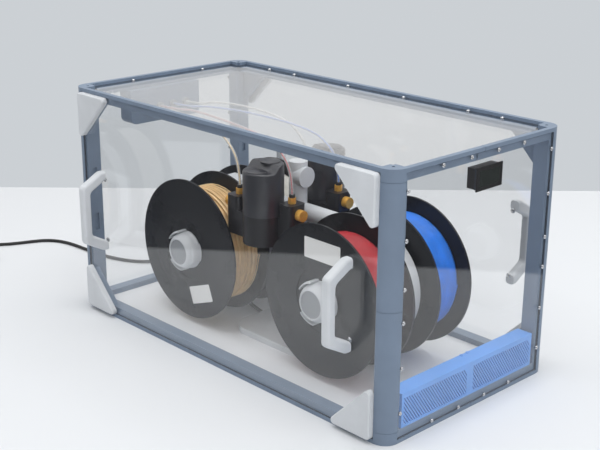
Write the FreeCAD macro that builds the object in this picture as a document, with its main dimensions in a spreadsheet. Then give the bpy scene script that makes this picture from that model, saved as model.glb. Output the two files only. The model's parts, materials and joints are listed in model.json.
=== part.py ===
import FreeCAD, Part
import math
import os
import Sketcher

# Filament dryer box: a printed frame with clear panels round a four-spool feeder.
# Millimetres. X runs along the long front, Y from the front to the back, Z up.
# The origin is the middle of the underside.

doc = FreeCAD.newDocument("filament_dryer_box")
size = doc.addObject("Spreadsheet::Sheet", "size")

driving = {
    # enclosure
    "length": 608, "depth": 312, "height": 330, "corner_radius": 20,
    "rail_width": 20, "rail_height": 15, "rim_width": 7, "rim_height": 4, "corner_pad": 24,
    "front_seam": 100, "post_width": 24, "post_depth": 25, "seam_groove": 0.5,
    "slot_width": 7, "slot_length": 25, "slot_offset": 22, "slot_depth": 3, "slot_inset": 10.5,
    "screw_way_inset": 15,
    "gusset_leg": 46, "gusset_thickness": 9,
    # clear panels
    "panel_thickness": 3, "panel_gap": 0.3, "rebate": 3.5, "seat_gap": 0.2, "lip": 5, "through": 20,
    # panel screws
    "head_radius": 2.4, "head_height": 1.8, "end_screw_y": 133, "end_screw_row": 8,
    "top_screw_inset": 12,
    # doors
    "plate_leg": 69, "plate_thickness": 8, "plate_round": 5, "plate_edge": 1.5,
    "magnet_radius": 4, "magnet_depth": 4, "magnet_inset": 21,
    "handle_x": 240, "handle_z": 160, "handle_holes": 90, "foot_half": 58, "foot_depth": 7,
    "grip_half": 41, "standoff": 38, "grip_bar": 13, "handle_width": 13, "handle_bend": 7, "handle_edge": 4,
    "screw_radius": 2, "screw_head_radius": 3.5,
    # hygrometer
    "meter_width": 48, "meter_height": 28.6, "meter_depth": 14, "meter_bezel": 1.6,
    "meter_y": 9, "meter_z": 293, "window_width": 38, "window_height": 19,
    "window_depth": 1,
    # desiccant box
    "dry_length": 252, "dry_depth": 22, "dry_height": 44, "dry_wall": 2, "dry_cap": 3, "dry_margin": 3.5,
    "dry_slot": 1.5, "dry_pitch": 4.2, "dry_lean": 36, "dry_bar": 12, "nub_radius": 2.2, "nub_spacing": 12,
    # outlet block
    "outlet_width": 126, "outlet_height": 50, "outlet_depth": 26, "outlet_y": -15, "outlet_round": 9,
    "outlet_pitch": 24, "outlet_rise": 28, "coupler_reach": 5,
    # feeder unit
    "unit_x": 6.5, "unit_y": -11, "spool_reach": 131.5, "axle_height": 117,
    "housing_radius": 74, "housing_width": 34, "axle_radius": 10, "axle_length": 32,
    "axle_clearance": 0.05, "column_radius": 12.5, "column_height": 249, "beam_radius": 12,
    "beam_height": 188, "stub_radius": 14, "stub_reach": 17, "stub_height": 236,
    "foot_length": 150, "foot_width": 120, "foot_height": 9, "boss_width": 36, "boss_rise": 5,
    # spools
    "flange_radius": 100, "flange_thickness": 3, "spool_width": 64, "spool_gap": 23,
    "barrel_radius": 46, "bore_radius": 27, "dish_radius": 43, "dish_depth": 1.5, "fit_gap": 0.3,
    "hub_disc_radius": 58, "hub_disc": 4.5, "nose_radius": 14, "nose_flare": 29, "nose_length": 19,
    "nose_root": 3, "hub_slit": 4,
    # feeders
    "motor_radius": 27.5, "motor_y": 57, "motor_x": -6.5, "gear_floor": 154, "gear_top": 194,
    "cover_top": 262, "cover_low": 252.5, "cover_slope": 7,
    "disc_radius": 15, "disc_offset": 12, "disc_height": 1.3, "arm_half": 8, "arm_gap": 3,
    "feeder_top": 213, "feeder_floor": 160, "feeder_length": 25, "feeder_width": 28, "feeder_round": 6,
    "left_port_x": -46.5, "left_port_y": 63, "right_port_x": 33.5, "right_port_y": 43,
    "fitting_radius": 5.5, "fitting_height": 8, "collet_radius": 4, "collet_height": 4,
    "tube_radius": 2, "knob_radius": 7.5, "knob_length": 9, "knob_drop": 13,
    # power lead
    "cord_radius": 2.5, "grommet_y": 72, "grommet_z": 29, "grommet_radius": 6, "grommet_flange": 9,
    "grommet_lip": 2.5, "grommet_reach": 4,
    "coil_outer": 33, "coil_pitch": 5.7, "coil_turns": 2, "coil_floor": 3.8, "coil_lead_out": 40,
    "tie_thickness": 0.8, "tie_width": 6,
    "plug_length": 26, "plug_width": 17, "plug_height": 15,
}
for row, (alias, number) in enumerate(driving.items(), 1):
    size.set(f"A{row}", alias)
    size.set(f"B{row}", str(number))
    size.setAlias(f"B{row}", alias)
doc.recompute()

nodes = []


def val(expression):
    return float(size.evalExpression(expression))


def keep(name, item):
    item.Label = name
    nodes.append(item)
    return item


def place(item, position):
    for axis, expression in zip("xyz", position):
        item.setExpression(f"Placement.Base.{axis}", expression)
    return item


def block(name, low, extent):
    item = doc.addObject("Part::Box", name)
    for prop, expression in zip(("Length", "Width", "Height"), extent):
        item.setExpression(prop, expression)
    return place(item, low)


def slab(name, low, high):
    return block(name, low, [f"({b}) - ({a})" for a, b in zip(low, high)])


def rod(name, start, radius, reach, along=(0, 0, 1)):
    item = doc.addObject("Part::Cylinder", name)
    item.setExpression("Radius", radius)
    item.setExpression("Height", reach)
    item.Placement.Rotation = FreeCAD.Rotation(FreeCAD.Vector(0, 0, 1), FreeCAD.Vector(*along))
    return place(item, start)


def stud(name, start, radius, reach, along=(0, 0, 1), faces=8):
    item = doc.addObject("Part::Prism", name)
    item.Polygon = faces
    item.setExpression("Circumradius", radius)
    item.setExpression("Height", reach)
    item.Placement.Rotation = FreeCAD.Rotation(FreeCAD.Vector(0, 0, 1), FreeCAD.Vector(*along))
    return place(item, start)


def taper(name, start, radius_a, radius_b, reach, along):
    item = doc.addObject("Part::Cone", name)
    item.setExpression("Radius1", radius_a)
    item.setExpression("Radius2", radius_b)
    item.setExpression("Height", reach)
    item.Placement.Rotation = FreeCAD.Rotation(FreeCAD.Vector(0, 0, 1), FreeCAD.Vector(*along))
    return place(item, start)


def join(name, pieces):
    item = doc.addObject("Part::MultiFuse", name)
    item.Shapes = pieces
    item.Refine = True
    return item


def cut(name, base, tools):
    for tool in tools:
        item = doc.addObject("Part::Cut", name + "_cut")
        item.Base = base
        item.Tool = tool
        item.Refine = True
        base = item
    return base


def common(name, pieces):
    item = doc.addObject("Part::MultiCommon", name)
    item.Shapes = pieces
    return item


def group(name, pieces):
    item = doc.addObject("Part::Compound", name)
    item.Links = pieces
    return item


def mirror(name, source, axis, at="0"):
    item = doc.addObject("Part::Mirroring", name)
    item.Source = source
    item.Normal = FreeCAD.Vector(*[float(axis == letter) for letter in "xyz"])
    item.setExpression(f"Base.{axis}", at)
    return item


def again(source):
    item = doc.addObject("App::Link", source.Name + "_again")
    item.LinkedObject = source
    return item


def new_body(name):
    return doc.addObject("PartDesign::Body", name)


def outline(body, role, points):
    sketch = body.newObject("Sketcher::SketchObject", body.Name + "_outline")
    plane = [item for item in body.Origin.OriginFeatures if item.Role == role][0]
    sketch.AttachmentSupport = [(plane, "")]
    sketch.MapMode = "FlatFace"
    spots = [FreeCAD.Vector(val(a), val(b), 0) for a, b in points]
    count = len(spots)
    for index in range(count):
        sketch.addGeometry(Part.LineSegment(spots[index], spots[(index + 1) % count]), False)
    for index in range(count):
        sketch.addConstraint(Sketcher.Constraint("Coincident", index, 2, (index + 1) % count, 1))
    for index, pair in enumerate(points):
        for kind, expression in zip(("DistanceX", "DistanceY"), pair):
            rule = Sketcher.Constraint(kind, -1, 1, index, 1, val(expression))
            number = sketch.addConstraint(rule)
            sketch.setExpression(f"Constraints[{number}]", expression)
    return sketch


def pad(body, sketch, reach, both_ways=False):
    item = body.newObject("PartDesign::Pad", body.Name + "_pad")
    item.Profile = sketch
    item.setExpression("Length", reach)
    item.Midplane = both_ways
    doc.recompute()
    return item


def revolve(body, sketch):
    item = body.newObject("PartDesign::Revolution", body.Name + "_turned")
    item.Profile = sketch
    item.ReferenceAxis = (sketch, ["V_Axis"])
    item.Angle = 360
    doc.recompute()
    return item


def soften(body, base, wanted, reach, kind="Fillet"):
    names = [f"Edge{i}" for i, edge in enumerate(base.Shape.Edges, 1) if wanted(edge)]
    item = body.newObject("PartDesign::" + kind, body.Name + "_softened")
    item.Base = (base, names)
    item.setExpression("Radius" if kind == "Fillet" else "Size", reach)
    doc.recompute()
    return item


def runs(edge, axis):
    points = [vertex.Point for vertex in edge.Vertexes]
    if len(points) < 2:
        return False
    step = points[1] - points[0]
    return all(abs(getattr(step, other)) < 1e-6 for other in "xyz" if other != axis)


half_x = "size.length / 2"
half_y = "size.depth / 2"
mid_z = "size.height / 2"
ledge_z = "size.height - size.rim_height - size.panel_thickness"
flat_x = "size.length / 2 - size.corner_radius"
flat_y = "size.depth / 2 - size.corner_radius"
door_y = "size.depth / 2 - size.rebate + size.seat_gap"
outlet_z = "size.height - size.rail_height - size.outlet_rise"
door_face = "size.depth / 2 - size.rebate + size.seat_gap + size.panel_thickness"


# Printed frame: every corner is made once, at the front right of the top, then mirrored.

def rounded_quarter(name, low, high, inset="0"):
    long_way = slab(name + "_long", ("0", f"-({half_y} - {inset})", low), (flat_x, "0", high))
    short_way = slab(name + "_short", ("0", f"-({flat_y})", low), (f"{half_x} - {inset}", "0", high))
    turn = rod(name + "_turn", (flat_x, f"-({flat_y})", low), f"size.corner_radius - {inset}",
               f"({high}) - ({low})")
    return join(name, [long_way, short_way, turn])


def seam_ring(name, low, high):
    core = rounded_quarter(name + "_core", low, high, "size.seam_groove")
    return cut(name, rounded_quarter(name, low, high), [core])


def door_rebate(name):
    return slab(name, ("0", f"-({half_y})", "0"),
                (flat_x, f"-({half_y}) + size.rebate", "size.height - size.lip"))


def end_rebate(name):
    return slab(name, (f"{half_x} - size.panel_thickness - size.seat_gap", f"-({flat_y})", "0"),
                (half_x, "0", "size.height - size.lip"))


def top_quarter():
    low = "size.height - size.rail_height"
    solid = rounded_quarter("top_quarter", low, "size.height")
    well = slab("top_well", ("0", f"-({half_y} - size.rail_width)", low),
                (f"{half_x} - size.rail_width", "0", "size.height"))
    ledge_long = slab("ledge_long", ("0", f"-({half_y} - size.rim_width)", ledge_z),
                      (f"{half_x} - size.corner_pad", "0", "size.height"))
    ledge_short = slab("ledge_short", ("0", f"-({half_y} - size.corner_pad)", ledge_z),
                       (f"{half_x} - size.rim_width", "0", "size.height"))
    return cut("top_frame", solid, [well, ledge_long, ledge_short, door_rebate("top_door_rebate"),
                                    end_rebate("top_end_rebate")])


def gusset():
    body = new_body("gusset")
    edge_x = f"{half_x} - size.post_width"
    edge_z = "size.height - size.rail_height"
    sketch = outline(body, "XZ_Plane", [(edge_x, edge_z), (f"{edge_x} - size.gusset_leg", edge_z),
                                        (edge_x, f"{edge_z} - size.gusset_leg")])
    pad(body, sketch, "size.gusset_thickness")
    place(body, ("0", f"-({half_y}) + size.rebate + size.gusset_thickness", "0"))
    seat = stud("magnet_seat", (magnet_x, f"-({half_y}) + size.rebate", magnet_z),
                "size.magnet_radius", "size.magnet_depth", (0, 1, 0), 12)
    return cut("gusset_bored", body, [seat])


magnet_x = f"{flat_x} - size.magnet_inset"
magnet_z = "size.height - size.lip - size.magnet_inset"


def rail_seams():
    start, end = "size.front_seam", "size.front_seam + size.seam_groove"
    top, skin_z, near_y = "size.height", "size.height - size.seam_groove", "-size.seam_groove"
    front, rim_x = f"-({half_y})", f"{half_x} - size.rim_width"
    return [slab("front_seam", (start, front, "0"), (end, f"{front} + size.seam_groove", top)),
            slab("top_seam", (start, front, skin_z), (end, f"{front} + size.rim_width", top)),
            slab("end_seam", (f"{half_x} - size.seam_groove", near_y, "0"), (half_x, "0", top)),
            slab("end_top_seam", (rim_x, near_y, skin_z), (half_x, "0", top))]


def corners_and_rails():
    quarter = top_quarter()
    reach = slab("corner_reach", ("size.front_seam", f"-({half_y})", "0"), (half_x, "0", "size.height"))
    corner = join("corner", [common("corner_arm", [quarter, reach]), gusset()])
    screw_way = rod("corner_screw_way", (f"{half_x} - size.screw_way_inset",
                                         f"-({half_y}) + size.screw_way_inset", ledge_z),
                    "size.screw_radius", "size.height")
    front_right = cut("top_front_right", corner, [screw_way] + rail_seams())
    front_left = mirror("top_front_left", front_right, "x")
    back_right = mirror("top_back_right", front_right, "y")
    back_left = mirror("top_back_left", front_left, "y")
    tops = {"front_right": front_right, "front_left": front_left,
            "back_right": back_right, "back_left": back_left}
    for spot, item in tops.items():
        keep("top_corner_" + spot, item)
        keep("base_corner_" + spot, mirror("base_" + spot, item, "z", mid_z))
    middle = slab("rail_reach", ("0", f"-({half_y})", "0"), ("size.front_seam", "0", "size.height"))
    half_rail = common("half_rail", [quarter, middle])
    rail = join("top_rail", [half_rail, mirror("other_half_rail", half_rail, "x")])
    back = mirror("top_rail_back", rail, "y")
    lower = [mirror("base_rail", item, "z", mid_z) for item in (rail, back)]
    keep("mid_rails", group("mid_rails", [rail, back] + lower))


def posts():
    shaft = rounded_quarter("post_quarter", "size.rail_height", mid_z)
    foot = slab("post_foot", (f"{half_x} - size.post_width", f"-({half_y})", "size.rail_height"),
                (half_x, f"-({half_y}) + size.post_depth", mid_z))
    slot = block("post_slot", (f"{half_x} - size.post_width", f"-({half_y}) + size.slot_inset",
                               f"{mid_z} - size.slot_offset - size.slot_length"),
                 ("size.slot_depth", "size.slot_width", "size.slot_length"))
    lower = cut("post_half", common("post_shaft", [shaft, foot]),
                [door_rebate("post_door_rebate"), end_rebate("post_end_rebate"), slot,
                 seam_ring("foot_seam", "size.rail_height", "size.rail_height + size.seam_groove"),
                 seam_ring("middle_seam", f"{mid_z} - size.seam_groove", mid_z)])
    left = mirror("post_left", lower, "x")
    lowers = [lower, left, mirror("post_back", lower, "y"), mirror("post_back_left", left, "y")]
    uppers = [mirror("post_upper", item, "z", mid_z) for item in lowers]
    keep("lower_posts", group("lower_posts", lowers))
    keep("upper_posts", group("upper_posts", uppers))


def lying_panel(name):
    inset = "(size.rim_width + size.panel_gap)"
    notch = "(size.corner_pad + size.panel_gap)"
    long_way = slab(name + "_long", (f"-({half_x} - {notch})", f"-({half_y} - {inset})", ledge_z),
                    (f"{half_x} - {notch}", f"{half_y} - {inset}", f"{ledge_z} + size.panel_thickness"))
    short_way = slab(name + "_short", (f"-({half_x} - {inset})", f"-({half_y} - {notch})", ledge_z),
                     (f"{half_x} - {inset}", f"{half_y} - {notch}", f"{ledge_z} + size.panel_thickness"))
    return join(name, [long_way, short_way])


def end_panel(name):
    reach = f"{flat_y} - size.panel_gap"
    return slab(name, (f"{half_x} - size.panel_thickness - size.seat_gap", f"-({reach})",
                       "size.lip + size.panel_gap"),
                (f"{half_x} - size.seat_gap", reach, "size.height - size.lip - size.panel_gap"))


def panels():
    top = keep("top_panel", lying_panel("top_panel"))
    keep("floor_panel", mirror("floor_panel", top, "z", mid_z))
    inside = f"{half_x} - size.through / 2"
    window = block("meter_window", (inside, "size.meter_y - size.meter_width / 2 + size.meter_bezel",
                                    "size.meter_z - size.meter_height / 2 + size.meter_bezel"),
                   ("size.through", "size.meter_width - 2 * size.meter_bezel",
                    "size.meter_height - 2 * size.meter_bezel"))
    plain = end_panel("end_panel")
    keep("right_panel", cut("right_panel", plain, [window]))
    ways = [rod("grommet_way", (inside, "size.grommet_y", "size.grommet_z"), "size.grommet_radius",
                "size.through", (1, 0, 0))]
    for index in range(4):
        spot = (inside, f"size.outlet_y + {index - 1.5} * size.outlet_pitch", outlet_z)
        ways.append(rod("coupler_pass", spot, "size.fitting_radius", "size.through", (1, 0, 0)))
    keep("left_panel", mirror("left_panel", cut("left_panel_bored", end_panel("far_panel"), ways), "x"))


# Screw heads: two columns and two rows on each end, one row round the top.

def panel_screws():
    heads = []
    column = ("38", "94", "150", "size.height - 140", "size.height - 83", "size.height - 26")
    row = ("-75", "-25", "25", "75")
    top_row = ("-220", "-165", "-53", "53", "165", "220")
    top_ends = ("-60", "70")
    low, high = "size.end_screw_row", "size.height - size.end_screw_row"
    spots = [(y, z) for y in ("-size.end_screw_y", "size.end_screw_y") for z in column]
    spots += [(y, z) for y in row for z in (low, high)]
    for y, z in spots:
        start = (f"{half_x} - size.seat_gap", y, z)
        heads.append(stud("end_screw", start, "size.head_radius", "size.head_height", (1, 0, 0)))
    heads += [mirror("end_screw_left", item, "x") for item in list(heads)]
    lid_z = f"{ledge_z} + size.panel_thickness"
    for x in top_row:
        for side in ("-1", "1"):
            start = (x, f"{side} * ({half_y} - size.top_screw_inset)", lid_z)
            heads.append(stud("top_screw", start, "size.head_radius", "size.head_height"))
    for y in top_ends:
        for side in ("-1", "1"):
            start = (f"{side} * ({half_x} - size.top_screw_inset)", y, lid_z)
            heads.append(stud("top_end_screw", start, "size.head_radius", "size.head_height"))
    keep("panel_screws", group("panel_screws", heads))


# Doors: each lifts straight off its magnets. The front one is made, the back one mirrored.

def corner_plate():
    body = new_body("corner_plate")
    edge_x = f"{flat_x} - size.panel_gap"
    edge_z = "size.height - size.lip - size.panel_gap"
    sketch = outline(body, "XZ_Plane", [(edge_x, edge_z), (f"{edge_x} - size.plate_leg", edge_z),
                                        (edge_x, f"{edge_z} - size.plate_leg")])
    solid = pad(body, sketch, "size.plate_thickness")
    turned = soften(body, solid, lambda edge: runs(edge, "y"), "size.plate_round")
    front = -val("size.plate_thickness")
    soften(body, turned, lambda edge: all(abs(v.Point.y - front) < 1e-6 for v in edge.Vertexes),
           "size.plate_edge", "Chamfer")
    place(body, ("0", f"-({door_face})", "0"))
    seat = stud("door_magnet_seat", (magnet_x, f"-({door_face})", magnet_z), "size.magnet_radius",
                "size.magnet_depth", (0, -1, 0), 12)
    return cut("corner_plate_bored", body, [seat])


def handle():
    body = new_body("handle")
    inner_half = "size.grip_half - size.grip_bar * 0.75"
    foot_inner = "size.foot_half - size.grip_bar"
    points = [("0", "size.foot_half"), ("-size.foot_depth", "size.foot_half"),
              ("-size.standoff", "size.grip_half"), ("-size.standoff", "-size.grip_half"),
              ("-size.foot_depth", "-size.foot_half"), ("0", "-size.foot_half"),
              ("0", f"-({foot_inner})"), ("-(size.standoff - size.grip_bar)", f"-({inner_half})"),
              ("-(size.standoff - size.grip_bar)", inner_half), ("0", foot_inner)]
    solid = pad(body, outline(body, "YZ_Plane", points), "size.handle_width", True)
    bent = soften(body, solid, lambda edge: runs(edge, "x") and edge.Vertexes[0].Point.y < -1,
                  "size.handle_bend")
    side = val("size.handle_width") / 2
    soften(body, bent, lambda edge: all(abs(abs(v.Point.x) - side) < 1e-6 for v in edge.Vertexes)
           and any(v.Point.y < -1e-6 for v in edge.Vertexes), "size.handle_edge")
    place(body, ("size.handle_x", f"-({door_face})", "size.handle_z"))
    return body


def doors():
    reach_x = f"{flat_x} - size.panel_gap"
    low = "size.lip + size.panel_gap"
    sheet = slab("front_panel", (f"-({reach_x})", f"-({door_face})", low),
                 (reach_x, f"-({door_y})", f"size.height - ({low})"))
    plate = corner_plate()
    plates = [plate, mirror("plate_left", plate, "x")]
    plates += [mirror("plate_low", item, "z", mid_z) for item in list(plates)]
    grip = handle()
    grips = [grip, mirror("handle_left", grip, "x")]
    magnets = [stud("door_magnet", (magnet_x, f"-({door_face})", magnet_z), "size.magnet_radius",
                    "size.magnet_depth", (0, -1, 0), 12)]
    magnets.append(mirror("door_magnet_left", magnets[0], "x"))
    magnets += [mirror("door_magnet_low", item, "z", mid_z) for item in list(magnets)]
    screws = []
    for side in ("-1", "1"):
        spot = ("size.handle_x", f"-({door_y})", f"size.handle_z + {side} * size.handle_holes / 2")
        screws.append(stud("handle_screw", spot, "size.screw_head_radius", "size.head_height", (0, 1, 0)))
    screws += [mirror("handle_screw_left", item, "x") for item in list(screws)]
    fronts = {"panel": sheet, "corner_plates": group("front_plates", plates),
              "handles": group("front_grips", grips), "hardware": group("front_bits", magnets + screws)}
    for part, item in fronts.items():
        keep("front_" + part, item)
        keep("back_" + part, mirror("back_" + part, item, "y"))


def frame_magnets():
    first = stud("frame_magnet", (magnet_x, f"-({half_y}) + size.rebate", magnet_z), "size.magnet_radius",
                 "size.magnet_depth", (0, 1, 0), 12)
    items = [first, mirror("frame_magnet_left", first, "x")]
    items += [mirror("frame_magnet_low", item, "z", mid_z) for item in list(items)]
    items += [mirror("frame_magnet_back", item, "y") for item in list(items)]
    keep("frame_magnets", group("frame_magnets", items))


# Fittings of the enclosure: hygrometer, desiccant box, tube outlet and cable grommet.

def hygrometer():
    face = f"{half_x} - size.seat_gap"
    left, low = "size.meter_y - size.meter_width / 2", "size.meter_z - size.meter_height / 2"
    bezel = block("meter_bezel", (face, left, low),
                  ("size.meter_bezel", "size.meter_width", "size.meter_height"))
    slack = "size.meter_bezel + size.panel_gap"
    case = block("meter_case", (f"{face} - size.meter_depth", f"{left} + {slack}", f"{low} + {slack}"),
                 ("size.meter_depth", f"size.meter_width - 2 * ({slack})",
                  f"size.meter_height - 2 * ({slack})"))
    glass_low = (f"{face} + size.meter_bezel - size.window_depth", "size.meter_y - size.window_width / 2",
                 "size.meter_z - size.window_height / 2")
    glass_size = ("size.window_depth", "size.window_width", "size.window_height")
    seat = block("meter_seat", glass_low, glass_size)
    keep("hygrometer_case", cut("meter", join("meter_shell", [bezel, case]), [seat]))
    keep("hygrometer_window", block("hygrometer_window", glass_low, glass_size))


def desiccant_box():
    outer = f"{half_x} - size.panel_thickness - 2 * size.seat_gap"
    inner = f"{outer} - size.dry_depth"
    half_l = "size.dry_length / 2"
    low, top = "size.rail_height", "size.rail_height + size.dry_height - size.dry_cap"
    tub = slab("dry_tub", (inner, f"-{half_l}", low), (outer, half_l, top))
    well_y = f"({half_l} - size.dry_wall)"
    well = slab("dry_well", (f"{inner} + size.dry_wall", f"-{well_y}", f"{low} + size.dry_wall"),
                (f"{outer} - size.dry_wall", well_y, top))
    behind = f"{outer} - 1.5 * size.dry_wall"
    slit_low, slit_top = f"{low} + size.dry_margin", f"{top} - size.dry_margin"
    sway = f"({slit_top} - ({slit_low})) * tan(size.dry_lean)"
    count = val(f"({half_l} - size.dry_bar / 2 - size.dry_margin + {sway}) / size.dry_pitch")
    slits = []
    for index in range(int(count)):
        start = (behind, f"size.dry_bar / 2 + {index} * size.dry_pitch", f"{slit_low} - size.dry_slot")
        slit = block("dry_slit", start, ("2 * size.dry_wall", "size.dry_slot", "1.3 * size.dry_height"))
        slit.Placement.Rotation = FreeCAD.Rotation(FreeCAD.Vector(1, 0, 0), val("size.dry_lean"))
        slits.append(slit)
    window = slab("slit_window", (behind, "size.dry_bar / 2", slit_low),
                  (f"{outer} + size.dry_wall", f"{half_l} - size.dry_margin", slit_top))
    near = common("near_slits", [window, group("slanted", slits)])
    far = place(again(near), ("0", f"-({half_l} + size.dry_bar / 2 - size.dry_margin)", "0"))
    keep("desiccant_box", cut("dry_box", tub, [well, near, far]))
    lid = slab("dry_lid", (inner, f"-{half_l}", top), (outer, half_l, f"{top} + size.dry_cap"))
    nubs = []
    for side in ("0.5", "1.5"):
        spot = (f"{inner} + size.nub_radius", f"{side} * size.nub_spacing", top)
        nubs.append(rod("lid_nub", spot, "size.nub_radius", "size.dry_cap + size.nub_radius / 2"))
    keep("desiccant_lid", join("dry_cover", [lid] + nubs))


def outlet():
    high = "size.height - size.rail_height"
    body = new_body("outlet")
    side = "size.outlet_width / 2"
    solid = pad(body, outline(body, "YZ_Plane", [(f"-{side}", "0"), (side, "0"), (side, "-size.outlet_height"),
                                                 (f"-{side}", "-size.outlet_height")]), "size.outlet_depth")
    depth = val("size.outlet_height")
    soften(body, solid, lambda edge: runs(edge, "x") and abs(edge.Vertexes[0].Point.z + depth) < 1e-6,
           "size.outlet_round")
    back = f"-({half_x}) + size.panel_thickness + 2 * size.seat_gap"
    mouth = f"-({half_x}) + size.seat_gap - size.head_height"
    span = f"{back} + size.outlet_depth + size.coupler_reach - ({mouth})"
    place(body, (back, "size.outlet_y", high))
    ways, couplers = [], []
    for index in range(4):
        y = f"size.outlet_y + {index - 1.5} * size.outlet_pitch"
        seat, spot = (back, y, outlet_z), (mouth, y, outlet_z)
        ways.append(rod("outlet_way", seat, "size.fitting_radius", "size.outlet_depth", (1, 0, 0)))
        ring = rod("coupler", spot, "size.fitting_radius", span, (1, 0, 0))
        hole = rod("coupler_way", spot, "size.tube_radius + size.axle_clearance", span, (1, 0, 0))
        couplers.append(cut("coupler_bored", ring, [hole]))
    keep("outlet_block", cut("outlet_bored", body, ways))
    keep("outlet_couplers", group("outlet_couplers", couplers))


def grommet():
    face = f"-({half_x}) + size.seat_gap"
    start = (f"{face} + size.panel_thickness", "size.grommet_y", "size.grommet_z")
    sleeve = stud("grommet_sleeve", start, "size.grommet_radius", "size.panel_thickness + size.grommet_reach",
                  (-1, 0, 0), 12)
    flange = stud("grommet_flange", (face, "size.grommet_y", "size.grommet_z"), "size.grommet_flange",
                  "size.grommet_lip", (-1, 0, 0), 16)
    way = stud("lead_way", start, "size.cord_radius", "size.through", (-1, 0, 0), 12)
    keep("cable_grommet", cut("grommet", join("grommet_solid", [sleeve, flange]), [way]))


# Feeder unit: a column and cross beam carry two round housings, two gearboxes and four spools.

def four_corners(half_l, half_w):
    return [(f"-{half_l}", f"-{half_w}"), (half_l, f"-{half_w}"), (half_l, half_w), (f"-{half_l}", half_w)]


def stand():
    floor_z = "size.rim_height + size.panel_thickness"
    foot = new_body("stand_foot")
    half_l, half_w = "size.foot_length / 2", "size.foot_width / 2"
    solid = pad(foot, outline(foot, "XY_Plane", four_corners(half_l, half_w)), "size.foot_height")
    soften(foot, solid, lambda edge: runs(edge, "z"), "size.foot_width / 4")
    place(foot, ("size.unit_x", "size.unit_y", floor_z))
    column = rod("column", ("size.unit_x", "size.unit_y", floor_z), "size.column_radius", "size.column_height")
    reach = "size.spool_reach"
    beam = rod("beam", (f"size.unit_x - {reach}", "size.unit_y", "size.beam_height"), "size.beam_radius",
               f"2 * {reach}", (1, 0, 0))
    stub = rod("stub", ("size.unit_x", "size.unit_y", "size.stub_height"), "size.stub_radius",
               "size.stub_reach", (1, 0, 0))
    keep("unit_stand", join("unit_stand", [foot, column, beam, stub]))


def housings():
    items = []
    for side in ("-1", "1"):
        x = f"size.unit_x + {side} * size.spool_reach"
        half = "size.housing_width / 2"
        drum = rod("drum", (x, f"size.unit_y - {half}", "size.axle_height"), "size.housing_radius",
                   "size.housing_width", (0, 1, 0))
        boss = slab("boss", (f"{x} - size.boss_width / 2", f"size.unit_y - {half}", "size.axle_height"),
                    (f"{x} + size.boss_width / 2", f"size.unit_y + {half}",
                     "size.beam_height + size.beam_radius + size.boss_rise"))
        axle = rod("axle", (x, f"size.unit_y - {half} - size.axle_length", "size.axle_height"),
                   "size.axle_radius", "size.housing_width + 2 * size.axle_length", (0, 1, 0))
        socket = rod("beam_socket", ("size.unit_x - size.spool_reach", "size.unit_y", "size.beam_height"),
                     "size.beam_radius + size.axle_clearance", "2 * size.spool_reach", (1, 0, 0))
        items.append(cut("housing", join("housing_solid", [drum, boss, axle]), [socket]))
    keep("hub_housings", group("hub_housings", items))


def reel(name, x, start_y, way):
    body = new_body(name + "_body")
    flange, width = "size.flange_thickness", "size.spool_width"
    edge, barrel, bore = "size.flange_radius", "size.barrel_radius", "size.bore_radius"
    dish, deep = "size.dish_radius", "size.dish_depth"
    points = [(bore, deep), (dish, deep), (dish, "0"), (edge, "0"), (edge, flange), (barrel, flange),
              (barrel, f"{width} - {flange}"), (edge, f"{width} - {flange}"), (edge, width), (dish, width),
              (dish, f"{width} - {deep}"), (bore, f"{width} - {deep}")]
    revolve(body, outline(body, "XY_Plane", points))
    base_y = start_y if way > 0 else f"{start_y} - {width}"
    place(body, (x, base_y, "size.axle_height"))
    return keep(name, body)


def winding(name, x, start_y, way, radius):
    reach = "size.spool_width - 2 * (size.flange_thickness + size.fit_gap)"
    base_y = f"{start_y} + {way} * (size.flange_thickness + size.fit_gap)"
    start = (x, base_y, "size.axle_height")
    solid = rod(name + "_core", start, radius, reach, (0, way, 0))
    hole = rod(name + "_hole", start, "size.barrel_radius + size.fit_gap", reach, (0, way, 0))
    return keep(name, cut(name, solid, [hole]))


def hub(name, x, start_y, way):
    along = (0, way, 0)
    disc_y = f"{start_y} - {way} * (size.hub_disc + size.fit_gap)"
    disc = rod(name + "_disc", (x, disc_y, "size.axle_height"), "size.hub_disc_radius", "size.hub_disc", along)
    sleeve = rod(name + "_sleeve", (x, disc_y, "size.axle_height"), "size.bore_radius - size.fit_gap",
                 "size.hub_disc + size.fit_gap + size.spool_width", along)
    nose_y = f"{start_y} + {way} * (size.spool_width - size.dish_depth + size.fit_gap)"
    nose = taper(name + "_nose", (x, nose_y, "size.axle_height"), "size.nose_flare", "size.nose_radius",
                 "size.nose_length", along)
    bearing = rod(name + "_bearing", (x, disc_y, "size.axle_height"), "size.axle_radius + size.axle_clearance",
                  "size.axle_length", along)
    slit_y = f"{nose_y} + size.nose_root" if way > 0 else f"{nose_y} - size.nose_root - size.nose_length"
    root, half_slit = "(size.nose_radius - size.hub_slit / 2)", "size.hub_slit / 2"
    slits = []
    for angle in (30, 150, 270):
        turn = FreeCAD.Rotation(FreeCAD.Vector(0, 1, 0), angle)
        out, up = turn * FreeCAD.Vector(1, 0, 0), turn * FreeCAD.Vector(0, 0, 1)
        spot = (f"{x} + {out.x} * {root} - {up.x} * {half_slit}", slit_y,
                f"size.axle_height + {out.z} * {root} - {up.z} * {half_slit}")
        slit = block(name + "_slit", spot, ("size.nose_flare", "size.nose_length", "size.hub_slit"))
        slit.Placement.Rotation = turn
        slits.append(slit)
    return keep(name, cut(name, join(name + "_solid", [disc, sleeve, nose]), [bearing] + slits))


spools = {
    "front_left": (-1, -1, 83), "front_right": (1, -1, 77),
    "back_left": (-1, 1, 82), "back_right": (1, 1, 80),
}


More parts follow.
